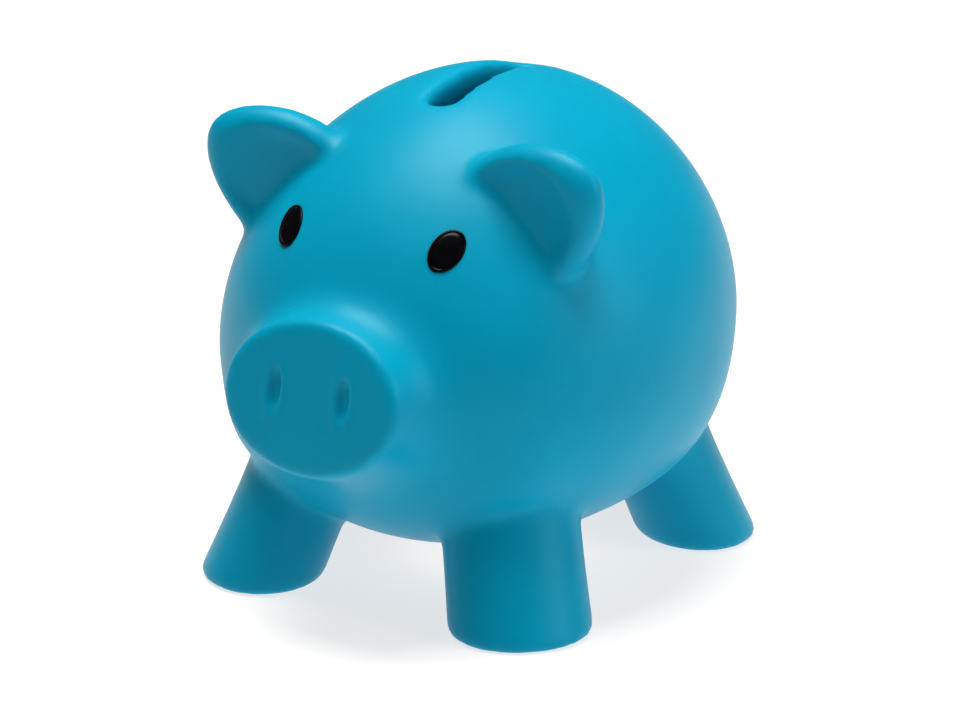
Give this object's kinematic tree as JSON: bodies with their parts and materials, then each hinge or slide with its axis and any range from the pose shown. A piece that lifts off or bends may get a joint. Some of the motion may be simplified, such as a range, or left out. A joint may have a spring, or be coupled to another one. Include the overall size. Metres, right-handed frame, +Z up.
{
  "type": "piggy bank",
  "caption": "Hollow soft-vinyl pig coin bank with a coin slot in its back and a pull-out belly stopper.",
  "frame": {"origin": "on the ground under the middle of the bank's box", "axes": "+Z up, the snout points to -Y, the pig's left side is +X"},
  "size_m": [0.09, 0.1152, 0.0916],
  "materials": {
    "vinyl_skin": "satin soft vinyl, moulded in colour",
    "eye_gloss": "glossy black",
    "stopper_plastic": "satin milky soft plastic"
  },
  "bodies": {
    "root": {"body_shell": "vinyl_skin", "eye_left": "eye_gloss", "eye_right": "eye_gloss"},
    "stopper": {"belly_stopper": "stopper_plastic"}
  },
  "joints": [
    {"name": "stopper_pull", "type": "slide", "parent": "root", "child": "stopper", "axis": [0, 0, -1], "range_m": [0, 0.025]}
  ]
}
